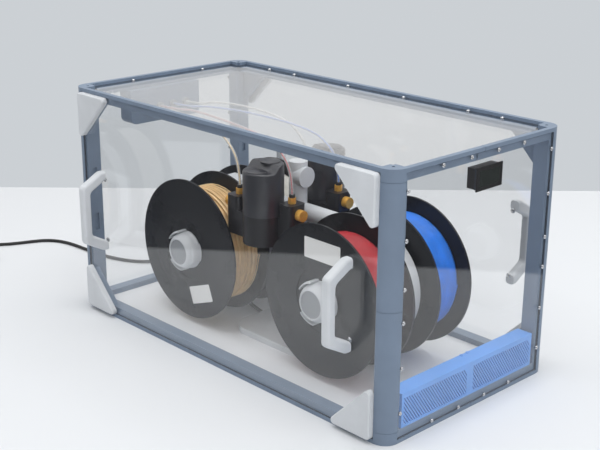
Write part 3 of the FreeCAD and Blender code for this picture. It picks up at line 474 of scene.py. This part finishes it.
def leadPoints(values):
    before, last = (Vector(spot) for spot in values["route"][-2:])
    heading = last - before
    turn = Matrix.Rotation(math.atan2(-heading.x, heading.y), 3, "Z")
    spot = last - turn @ Vector((values["coilOuter"], -values["leadIn"], values["coilFloor"]))
    coil = [spot + turn @ point for point in coilPoints(values)]
    return [Vector(point) * mm for point in values["route"]] + [point * mm for point in coil]


leadLine = roundLine("powerLead", leadPoints(powerLead), powerLead["radius"] * mm)
lead = addPiece("powerLead", leadLine, "enclosure", "softBlack", "cable_black")
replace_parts(lead, "power_cord", "cord_coil")
tuple(Vector(powerLead["route"][0]) * mm)

innerLead = {
    "radius": 2.5, "length": 0.2545,
    "route": [(-307.8, 72, 29), (-293, 72, 29), (-279, 70, 25), (-268, 66, 19), (-256, 61, 13.5), (-243, 56.5, 10.5),
              (-222, 50, 9.7), (-196, 41, 9.7), (-164, 27, 9.7), (-130, 13, 9.7), (-98, 2, 9.7), (-70, -5, 10.5)],
}
innerLine = roundLine("innerLead", [Vector(spot) * mm for spot in innerLead["route"]], innerLead["radius"] * mm)
inner = addPiece("innerLead", innerLine, "enclosure", "softBlack", "cable_black")
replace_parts(inner, "inner_lead")
tuple(Vector(innerLead["route"][0]) * mm)
print("leads laid")


# feed tubes from the feeder ports to the outlet block, each with its filament inside

feedTubes = {
    "radius": 2, "sides": 3, "strand": 0.9, "strandSides": 2, "startZ": 225, "exitX": -269.6, "exitZ": 287,
    "outletY": -15, "pitch": 24, "ports": {"tan": (-40, -74), "red": (40, -54), "blue": (40, 32), "pale": (-40, 52)},
    "crest": 6, "leans": 6,
    "climb": [(0, 0, 0), (-1, 0, 0.34), (-14, 0.2, 0.68), (-46, 1, 0.96)],  # along x, leans, share of the rise
    "cross": [(0.38, 2.6, 9), (0.7, 5, 8)],  # share of the way to the exit, leans, height over it
    "arrive": [(36, 1), (0, 0)],  # distance from the exit, height over it
}


def tubePoints(values, port, index):
    exitX, exitZ, startZ = values["exitX"], values["exitZ"], values["startZ"]
    middle = (len(values["ports"]) - 1) / 2
    exitY = values["outletY"] + (index - middle) * values["pitch"]
    x, y = port
    lean, rise = (exitY - y) / values["leans"], exitZ + values["crest"] - startZ
    points = [(x + along, y + share * lean, startZ + up * rise) for along, share, up in values["climb"]]
    bend = points[-1][0]
    points += [(bend + share * (exitX - bend), y + side * lean, exitZ + up) for share, side, up in values["cross"]]
    points += [(exitX + along, exitY, exitZ + up) for along, up in values["arrive"]]
    return [Vector(point) * mm for point in points]


for index, (colour, port) in enumerate(feedTubes["ports"].items()):
    points = tubePoints(feedTubes, port, index)
    line = roundLine(f"feedTube{index + 1}", points, feedTubes["radius"] * mm, feedTubes["sides"])
    tube = addPiece(f"feedTube{index + 1}", line, "enclosure", "feedTubing", "tube_clear")
    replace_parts(tube, "feed_tubes")
    strand = roundLine(f"fedFilament{index + 1}", points, feedTubes["strand"] * mm, feedTubes["strandSides"])
    addPiece(f"fedFilament{index + 1}", strand, "enclosure", colour + "Filament", "filament_" + colour)
print("feed tubes run")


# filament windings: a core under wound strands

spools = {
    "front_left": {"x": -125, "y": -66, "radius": 83, "colour": "tan", "pitch": 3.5, "sway": 1.2, "under": 5},
    "front_right": {"x": 138, "y": -66, "radius": 77, "colour": "red", "pitch": 1.78, "sway": 0.05, "under": 1},
    "back_left": {"x": -125, "y": 44, "radius": 82, "colour": "pale", "pitch": 1.78, "sway": 0.05, "under": 1},
    "back_right": {"x": 138, "y": 44, "radius": 80, "colour": "blue", "pitch": 1.78, "sway": 0.05, "under": 1},
}
winding = {
    "axleZ": 117, "halfWidth": 28.6, "barrel": 46.4, "strand": 0.875, "perTurn": 18, "sides": 1, "steps": 2,
    "waves": [(2.3, 0, 1), (5.1, 1, 0.6)],  # each wave's length in turns, start and share of the sway
}
underLayer = {"least": 2, "drop": 3, "pitch": 2.4, "sway": 0.6}


def strandPoints(values, radius, pitch, sway):
    count = winding["perTurn"]
    half = winding["halfWidth"] - winding["strand"]
    turns = int(2 * half / pitch)
    wider = outset(2 * math.pi / count)
    spots = []
    for index in range(turns * count + 1):
        angle = 2 * math.pi * index / count
        along = -half + 2 * half * index / (turns * count)
        drift = sum(share * math.sin(angle / wave + start) for wave, start, share in winding["waves"])
        along += sway * drift * (1 - (along / half) ** 4)  # no sway at the flanges
        spots.append(Vector((values["x"] + radius * wider * math.cos(angle), values["y"] + along,
                             winding["axleZ"] + radius * wider * math.sin(angle))) * mm)
    return spots


def turnOnAxle(form, values, outline, start=0, **turn):
    centre, first = Vector((values["x"], values["y"], winding["axleZ"])), math.radians(start)
    corners = [centre + Vector((reach * math.cos(first), along, reach * math.sin(first))) for reach, along in outline]
    spinOutline(form, corners, centre, (0, -1, 0), **turn)


def windingCore(values):
    form = bmesh.new()
    outer, inner, half = values["radius"] - values["under"], winding["barrel"], winding["halfWidth"]
    turnOnAxle(form, values, [(inner, -half), (outer, -half), (outer, half), (inner, half)])
    return form


def windStrand(name, values, radius, pitch, sway):
    return roundLine(name, strandPoints(values, radius, pitch, sway), winding["strand"] * mm, winding["sides"],
                     winding["steps"])


for spot, values in spools.items():
    body, finish, slot = "spool_" + spot, values["colour"] + "Filament", "filament_" + values["colour"]
    core = addPiece("woundCore." + spot, meshFrom(windingCore(values), "woundCore." + spot), body, finish, slot)
    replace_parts(core, "filament_" + spot)
    outer = values["radius"] - winding["strand"]
    strand = windStrand("woundStrand." + spot, values, outer, values["pitch"], values["sway"])
    addPiece("woundStrand." + spot, strand, body, finish, slot)
    if values["under"] > underLayer["least"]:  # a loose winding shows the layer below
        strand = windStrand("underStrand." + spot, values, outer - underLayer["drop"], underLayer["pitch"],
                            underLayer["sway"])
        addPiece("underStrand." + spot, strand, body, finish, slot)
print("windings wound")


# spool hubs: a disc and sleeve, a domed nose with three spring fingers, and on its flat end a grey disc of painted
# shade

hubShape = {
    "innerFace": 36.8, "bearing": 10.05, "bearingDepth": 32, "segments": 64, "sharp": 38, "fingerSteps": 12,
    "cup": [(57.5, 0), (58, 0.5), (58, 4), (57.5, 4.5), (26.7, 4.5), (26.7, 69), (25.9, 70), (25.7, 75), (25, 78),
            (23.8, 81), (21.8, 84), (20.2, 85.7), (19.3, 86.4), (18.6, 86.6), (18, 86.3), (17.8, 85.2), (0, 85.2)],
    "finger": [(27.2, 67.6), (29, 67.6), (29, 80), (28.3, 82.4), (27.2, 83.5), (26.4, 83.4)],
    "fingerSpan": 52, "fingerTurns": (98, 218, 338), "face": [(0, 85), (17.6, 85), (17.6, 85.6), (0, 85.6)],
}


def hubOutline(values, spool, points):
    way = 1 if spool["y"] > 0 else -1
    return [(reach, way * (along - values["innerFace"])) for reach, along in points]


def hubForm(values, spool):
    form = bmesh.new()
    bearing = [(0, values["bearingDepth"]), (values["bearing"], values["bearingDepth"]), (values["bearing"], 0)]
    turnOnAxle(form, spool, hubOutline(values, spool, values["cup"] + bearing), steps=values["segments"])
    for start in values["fingerTurns"]:
        turnOnAxle(form, spool, hubOutline(values, spool, values["finger"]), start, angle=values["fingerSpan"],
                   steps=values["fingerSteps"])
    return form


for spot, values in spools.items():
    body, sharp = "spool_" + spot, hubShape["sharp"]
    nose = meshFrom(hubForm(hubShape, values), "hubNose." + spot, sharp=sharp)
    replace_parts(addPiece("hubNose." + spot, nose, body, "whiteMould", "white_moulded"), "hub_" + spot)
    # a thin grey disc on the nose's flat end: painted shade on white plastic
    form = bmesh.new()
    turnOnAxle(form, values, hubOutline(hubShape, values, hubShape["face"]), steps=hubShape["segments"])
    addPiece("hubShadeDisc." + spot, meshFrom(form, "hubShadeDisc." + spot, sharp=sharp), body, "paintedShadeGrey", "white_moulded")
print("hubs turned")


# motor covers: round columns whose top steps down to the front, with a raised disc on each level

motorCover = {
    "x": 0, "ys": {"front": -68, "back": 46}, "radius": 27.5, "floor": 194, "high": 262, "low": 252.5, "slope": 12,
    "round": 2.4, "rings": 16, "rimRings": 5, "segments": 80, "discRadius": 14, "discOffset": 12, "discHeight": 1.2,
    "discRound": 0.8, "discSegments": 48, "roundSteps": 3, "sharp": 45,
}


def coverTop(values, along):
    share = min(1, max(0, along / values["slope"] + 0.5))
    return values["low"] + (values["high"] - values["low"]) * share * share * (3 - 2 * share)


def coverShell(form, values, y):
    radius, edge, high, floor = (values[key] for key in ("radius", "round", "high", "floor"))
    outline = [((radius - edge) * ring / values["rings"], high) for ring in range(values["rings"] + 1)]
    for step in range(1, values["rimRings"] + 1):
        angle = math.pi / 2 * step / values["rimRings"]
        outline.append((radius - edge + edge * math.sin(angle), high - edge * (1 - math.cos(angle))))
    corners = [Vector((values["x"] + reach, y, z)) for reach, z in outline + [(radius, floor), (0, floor)]]
    spinOutline(form, corners, Vector((values["x"], y, 0)), (0, 0, 1), steps=values["segments"])
    for vert in form.verts:  # the level top steps down
        if vert.co.z > (floor + edge) * mm:
            vert.co.z += (coverTop(values, vert.co.y / mm - y) - high) * mm


def coverDisc(form, values, y, level):
    fresh = addDisc(form, values["discRadius"], 2 * values["discHeight"], (values["x"], y, level),
                    values["discSegments"])
    crown = [edge for edge in form.edges if all(vert in fresh and vert.co.z > level * mm for vert in edge.verts)]
    roundOff(form, crown, values["discRound"], values["roundSteps"])


def coverForm(values, y):
    form = bmesh.new()
    coverShell(form, values, y)
    coverDisc(form, values, y + values["discOffset"], values["high"])
    coverDisc(form, values, y - values["discOffset"], values["low"])
    return form


for spot, y in motorCover["ys"].items():
    mesh = meshFrom(coverForm(motorCover, y), "motorCover." + spot, sharp=motorCover["sharp"])
    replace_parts(addPiece("motorCover." + spot, mesh, "enclosure", "coverGrey", "charcoal"), "motor_covers")
print("motor covers made")


# bare labels on the front flanges

labels = [
    {"name": "tanLabel", "spot": "front_left", "centre": (-98, 57.5), "width": 46, "height": 25, "turn": 20},
    {"name": "redLabel", "spot": "front_right", "centre": (140, 183), "width": 62, "height": 27, "turn": 0},
]
flangeFace = {"y": -98.0, "thick": 0.15, "corner": 1.5, "cornerSteps": 4}


def label(values):
    form = bmesh.new()
    bmesh.ops.create_grid(form, x_segments=1, y_segments=1, size=0.5)
    bmesh.ops.scale(form, vec=(values["width"] * mm, values["height"] * mm, 1), verts=form.verts)
    roundOff(form, form.verts[:], flangeFace["corner"], flangeFace["cornerSteps"], "VERTICES")
    raised = bmesh.ops.extrude_face_region(form, geom=form.faces[:])
    lifted = [item for item in raised["geom"] if isinstance(item, bmesh.types.BMVert)]
    bmesh.ops.translate(form, vec=(0, 0, flangeFace["thick"] * mm), verts=lifted)
    x, z = values["centre"]
    stand = Matrix.Translation(Vector((x, flangeFace["y"], z)) * mm) @ Matrix.Rotation(math.pi / 2, 4, "X")
    bmesh.ops.transform(form, matrix=stand @ Matrix.Rotation(math.radians(values["turn"]), 4, "Z"), verts=form.verts)
    return meshFrom(form, values["name"], False)


for values in labels:
    addPiece(values["name"], label(values), "spool_" + values["spot"], "labelPaper", "white_print")
print("labels placed")


# button screws in place of the plain heads

screwHead = {
    "radius": 2.7, "height": 1.8, "taper": 0.86, "sides": 24, "crown": 0.9, "crownSteps": 3, "socket": 1.4,
    "deep": 1.3,
}
screwSpots = {
    "endFace": 303.8, "sideY": 133, "sideZ": (38, 94, 150, 190, 247, 304), "rowY": (25, 75), "rowZ": (8, 322),
    "topFace": 326, "longX": (53, 165, 220), "longY": 144, "shortX": 292, "shortY": (-60, 70),
}


def screwPlaces(values):
    upright = Matrix.Identity(4)
    for way in (1, -1):
        out = Matrix.Rotation(way * math.pi / 2, 4, "Y")
        spots = [(side * values["sideY"], z) for side in (1, -1) for z in values["sideZ"]]
        spots += [(side * y, z) for side in (1, -1) for y in values["rowY"] for z in values["rowZ"]]
        for y, z in spots:
            yield Matrix.Translation(Vector((way * values["endFace"], y, z)) * mm) @ out
        for x in values["longX"]:
            for y in (values["longY"], -values["longY"]):
                yield Matrix.Translation(Vector((way * x, y, values["topFace"])) * mm) @ upright
        for y in values["shortY"]:
            yield Matrix.Translation(Vector((way * values["shortX"], y, values["topFace"])) * mm) @ upright


def buttonHead(values):
    form = bmesh.new()
    radius, height, crown = values["radius"], values["height"], values["crown"]
    addDisc(form, radius, height, (0, 0, height / 2), values["sides"], values["taper"])
    upper = [edge for edge in form.edges if all(vert.co.z > height / 2 * mm for vert in edge.verts)]
    roundOff(form, upper, crown, values["crownSteps"])
    top = max(form.faces, key=lambda face: face.calc_center_median().z)
    bmesh.ops.inset_individual(form, faces=[top], thickness=(radius - crown - values["socket"]) / 2 * mm)
    sunk = bmesh.ops.extrude_discrete_faces(form, faces=[top])["faces"]
    bmesh.ops.translate(form, vec=(0, 0, -values["deep"] * mm), verts=sunk[0].verts)
    return meshFrom(form, "buttonHead")


def addCopy(form, mesh, place):
    before = len(form.verts)
    form.from_mesh(mesh)
    form.verts.ensure_lookup_table()
    bmesh.ops.transform(form, matrix=place, verts=form.verts[before:])


def screwSet(values, places):
    head = buttonHead(values)
    form = bmesh.new()
    for place in places:
        addCopy(form, head, place)
    return meshFrom(form, "panelScrews")


screwMesh = screwSet(screwHead, screwPlaces(screwSpots))
screws = addPiece("panelScrews", screwMesh, "enclosure", "brightSteel", "bright_steel")
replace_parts(screws, "panel_screws")
print("screws set")


# handle screws and hidden magnets of each door

doorHardware = {
    "head": {**screwHead, "radius": 3.5, "deep": 1.0}, "holeX": 240, "holeZ": (115, 205), "sheetY": 152.7,
    "magnet": 4, "magnetDepth": 4, "magnetSides": 32, "magnetRound": 0.3, "magnetSteps": 2, "magnetX": 263,
    "magnetZ": (26, 304), "plateY": 155.7,
}


def magnetDisc(values):
    form = bmesh.new()
    addDisc(form, values["magnet"], values["magnetDepth"], (0, 0, values["magnetDepth"] / 2), values["magnetSides"])
    roundOff(form, form.edges[:], values["magnetRound"], values["magnetSteps"])
    return meshFrom(form, "magnetDisc")


def doorBits(values, way):
    head, disc = buttonHead(values["head"]), magnetDisc(values)
    inward, outward = (Matrix.Rotation(way * turn * math.pi / 2, 4, "X") for turn in (1, -1))
    form = bmesh.new()
    for side in (1, -1):
        for z in values["holeZ"]:
            stand = Matrix.Translation(Vector((side * values["holeX"], way * values["sheetY"], z)) * mm)
            addCopy(form, head, stand @ inward)
        for z in values["magnetZ"]:
            stand = Matrix.Translation(Vector((side * values["magnetX"], way * values["plateY"], z)) * mm)
            addCopy(form, disc, stand @ outward)
    return form


for spot, way in (("front", -1), ("back", 1)):
    mesh = meshFrom(doorBits(doorHardware, way), f"doorHardware.{spot}")
    bits = addPiece(f"doorHardware.{spot}", mesh, spot + "_door", "brightSteel", "bright_steel")
    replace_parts(bits, spot + "_hardware")
print("door hardware set")


# table and light

# the dark table colour that glossy rays see is a painted reflection of the room
table = {
    "behind": 0.71, "front": 4.0, "side": 4.0, "colour": (0.735, 0.755, 0.78, 1), "far": (0.045, 0.047, 0.055, 1),
    "frontEdge": (-0.64, -0.77, 0.556), "backEdge": (0.62, 0.79, 0.662), "soft": 0.015, "shine": 0.6, "gloss": 0.2,
    "cloud": 3, "dim": 0.985,
}
wall = {"colour": (0.60, 0.63, 0.66, 1), "light": 0.42, "mirrored": 0.78, "room": 0.06, "fade": (-0.1, 0.3)}
lamps = [
    {"name": "overhead", "place": (0.1, -0.1, 2.6), "aim": (0, 0, 0.1), "size": 3.0, "power": 54},
    {"name": "windowSide", "place": (-2.2, -1.8, 1.8), "aim": (0, 0, 0.15), "size": 3.0, "power": 12},
    {"name": "cameraSide", "place": (2.2, -1.5, 1.7), "aim": (0.2, 0, 0.15), "size": 2.4, "power": 19},
    {"name": "rightSide", "place": (2.3, 0.7, 1.1), "aim": (0.2, 0.1, 0.15), "size": 1.8, "power": 6},
    {"name": "behind", "place": (0.7, 2.2, 1.9), "aim": (0, 0, 0.15), "size": 2.4, "power": 12},
]


def addTable(values):
    turn = math.radians(photoView["azimuth"])
    form = bmesh.new()
    bmesh.ops.create_grid(form, x_segments=1, y_segments=1, size=1)
    deep = values["behind"] + values["front"]
    bmesh.ops.scale(form, vec=(values["side"], deep / 2, 1), verts=form.verts)
    bmesh.ops.translate(form, vec=(0, values["behind"] - deep / 2, 0), verts=form.verts)
    bmesh.ops.rotate(form, cent=(0, 0, 0), matrix=Matrix.Rotation(turn, 3, "Z"), verts=form.verts)
    top = bpy.data.objects.new("tableTop", meshFrom(form, "tableTop", False))
    scene.collection.objects.link(top)
    finish = Finish("tableWhite", Roughness=values["shine"], Specular_IOR_Level=values["gloss"])
    spot = finish.place()
    plain = finish.mix(finish.noise(values["cloud"], 2), values["colour"], tint(values["colour"], values["dim"]))
    edges = []
    for key in ("frontEdge", "backEdge"):  # beyond these lines the table's colour is painted dark for glossy rays, a painted reflection of the dark room
        across, along, reach = values[key]
        edges.append(finish.ramp(finish.dot(spot, (across, along, 0)), reach, reach + values["soft"]))
    # painted reflection: glossy rays see the table beyond the lines in a painted dark colour
    finish.colour(finish.mix((edges[0] + edges[1]) * finish.ray("Is Glossy Ray"), plain, values["far"]))
    top.data.materials.append(finish.material)


def addWorld(values):
    world = bpy.data.worlds.new("studio")
    world.use_nodes = True
    graph = Graph(world.node_tree)
    turn = math.radians(photoView["azimuth"])
    towards = graph.dot(graph.add("ShaderNodeTexCoord", output="Generated"), (math.sin(turn), -math.cos(turn), 0))
    mirrored = (1 - graph.ramp(towards, *values["fade"])) * (values["mirrored"] - values["room"]) + values["room"]
    white = (1, 1, 1, 1)
    lit = graph.add("ShaderNodeBackground", {}, {"Color": white, "Strength": values["light"]})
    shown = graph.add("ShaderNodeBackground", {}, {"Color": white, "Strength": mirrored})
    seen = graph.add("ShaderNodeBackground", {}, {"Color": values["colour"], "Strength": 1})
    sky = graph.blend(graph.ray("Is Camera Ray"), graph.blend(graph.ray("Is Glossy Ray"), lit, shown), seen)
    graph.feed(world.node_tree.nodes["World Output"].inputs["Surface"], sky)
    scene.world = world


def addLamp(values):
    light = bpy.data.lights.new(values["name"], "AREA")
    light.shape, light.size, light.energy = "DISK", values["size"], values["power"]
    lamp = bpy.data.objects.new(values["name"], light)
    lamp.location = values["place"]
    lamp.rotation_euler = (Vector(values["aim"]) - Vector(values["place"])).to_track_quat("-Z", "Y").to_euler()
    scene.collection.objects.link(lamp)


addTable(table)
addWorld(wall)
for values in lamps:
    addLamp(values)
scene.view_settings.view_transform = "Standard"
print("table and light set")
